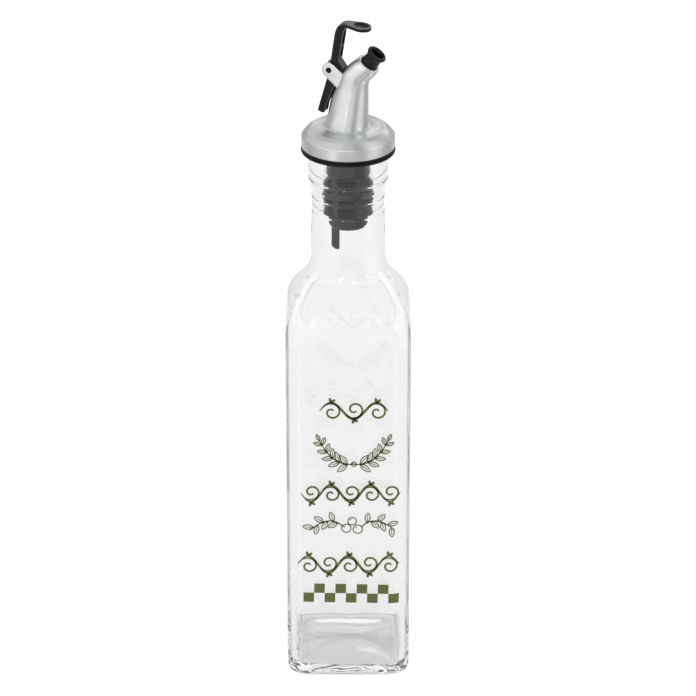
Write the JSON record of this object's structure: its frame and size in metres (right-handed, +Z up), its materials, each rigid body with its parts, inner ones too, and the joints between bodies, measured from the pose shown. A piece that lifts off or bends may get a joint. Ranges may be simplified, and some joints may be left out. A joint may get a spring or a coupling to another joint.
{
  "type": "oil cruet",
  "caption": "Square clear glass oil bottle with a round neck and a plugged-in steel pourer: angled black nozzle and a hinged lever with a round pad that covers it.",
  "frame": {"origin": "centre of the bottle's foot, on the surface it stands on", "axes": "+Z up along the bottle, -Y out of the printed front face, the spout mostly towards +X"},
  "size_m": [0.047, 0.047, 0.2593],
  "materials": {
    "glass": "clear, smooth, faint green in the thick base",
    "seal": "dark grey soft seal, satin",
    "insert": "dark grey, satin",
    "steel": "satin, fine turned and upright brushing",
    "black_plastic": "black, semi-gloss moulding"
  },
  "bodies": {
    "cruet": {"bottle": "glass", "gasket": "seal", "stopper_plug": "seal", "core_insert": "insert", "breather_tube": "insert", "collar": "steel", "spout_body": "steel", "nozzle": "black_plastic", "hinge_pin": "black_plastic"},
    "lever": {"lever": "black_plastic"}
  },
  "joints": [
    {"name": "lever_hinge", "type": "hinge", "parent": "cruet", "child": "lever", "pos_m": [-0.00592, 0.00215, 0.2412], "axis": [0.342, 0.9397, 0], "range_deg": [0, 31]}
  ]
}
